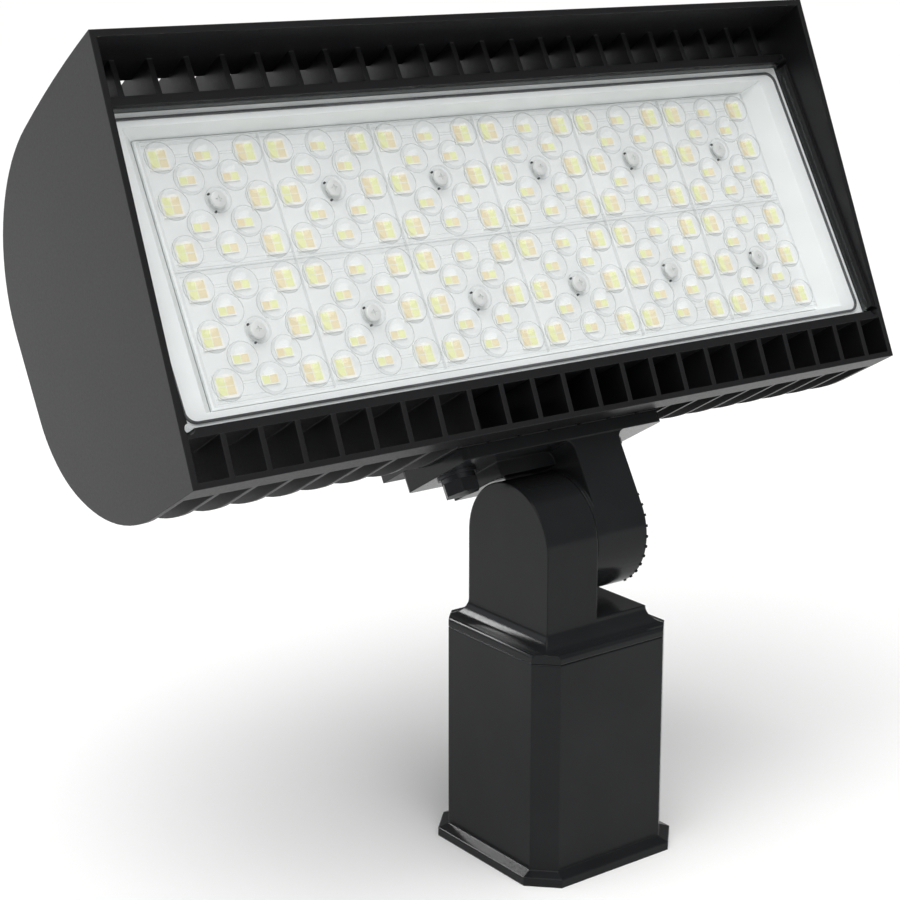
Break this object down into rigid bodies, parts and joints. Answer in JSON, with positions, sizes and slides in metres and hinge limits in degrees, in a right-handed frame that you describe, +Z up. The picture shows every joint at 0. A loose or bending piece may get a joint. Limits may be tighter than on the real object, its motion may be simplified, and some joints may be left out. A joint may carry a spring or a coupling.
{
  "type": "led floodlight",
  "caption": "Finned rectangular LED floodlight head with clear glass, tilting on a knuckle over a square slipfitter socket that drops onto a round pole tenon",
  "frame": {"origin": "centre of the socket mouth in the foot, on the tenon's axis", "axes": "+X along the head's width, to the right as seen from the lit side; -Y towards the lit side; +Z up along the tenon"},
  "size_m": [0.35, 0.1618, 0.3327],
  "materials": {
    "coated_casting": "black powder coat on die-cast aluminium",
    "coated_sheet": "black powder coat on aluminium sheet",
    "clear_glass": "clear tempered flat glass",
    "clear_lens": "clear moulded polycarbonate",
    "silicone": "dark grey silicone",
    "rubber": "black rubber",
    "white_tray": "white matt reflector plastic",
    "white_board": "white solder mask",
    "led_phosphor": "yellow phosphor in silicone",
    "steel_screw": "plain stainless steel",
    "bolt_steel": "dull stainless steel",
    "black_steel": "black coated steel",
    "driver_metal": "plain aluminium case round potted electronics",
    "white_plastic": "white moulded plastic",
    "grey_plastic": "grey potted plastic block",
    "black_plastic": "black moulded plastic"
  },
  "bodies": {
    "base": {"fixed_knuckle": "coated_casting", "knuckle_seal": "silicone", "pivot_bolt": "black_steel", "pivot_flat_washer": "black_steel", "pivot_spring_washer": "black_steel", "socket_box": "coated_casting", "box_grommet": "rubber", "box_screws": "steel_screw"},
    "head": {"head_casting": "coated_casting", "front_glass": "clear_glass", "glass_seal": "silicone", "reflector_tray": "white_tray", "led_boards": "white_board", "led_packages": "led_phosphor", "lens_plates": "clear_lens", "module_screws": "steel_screw", "deck_grommet": "rubber", "driver_case": "driver_metal", "driver_screws": "steel_screw", "terminal_block": "white_plastic", "surge_protector": "grey_plastic", "bay_door": "coated_sheet", "door_seal": "silicone", "door_screws": "steel_screw", "breather_vent": "black_plastic", "switch_body": "black_plastic", "switch_cap": "black_plastic", "knuckle_arm": "coated_casting", "arm_seal": "silicone", "arm_flat_washers": "bolt_steel", "arm_spring_washers": "bolt_steel", "arm_bolts": "bolt_steel"},
    "switch": {"switch_slider": "white_plastic"},
    "clamp_low": {"set_screw_1": "black_steel"},
    "clamp_high": {"set_screw_2": "black_steel"}
  },
  "joints": [
    {"name": "head_tilt", "type": "hinge", "parent": "base", "child": "head", "pos_m": [0, 0, 0.13], "axis": [-1, 0, 0], "range_deg": [-120, 60]},
    {"name": "switch_slide", "type": "slide", "parent": "head", "child": "switch", "axis": [1, 0, 0], "range_m": [0, 0.006]},
    {"name": "clamp_low_travel", "type": "slide", "parent": "base", "child": "clamp_low", "axis": [0, -1, 0], "range_m": [0, 0.008]},
    {"name": "clamp_high_travel", "type": "slide", "parent": "base", "child": "clamp_high", "axis": [0, -1, 0], "range_m": [0, 0.008]}
  ]
}
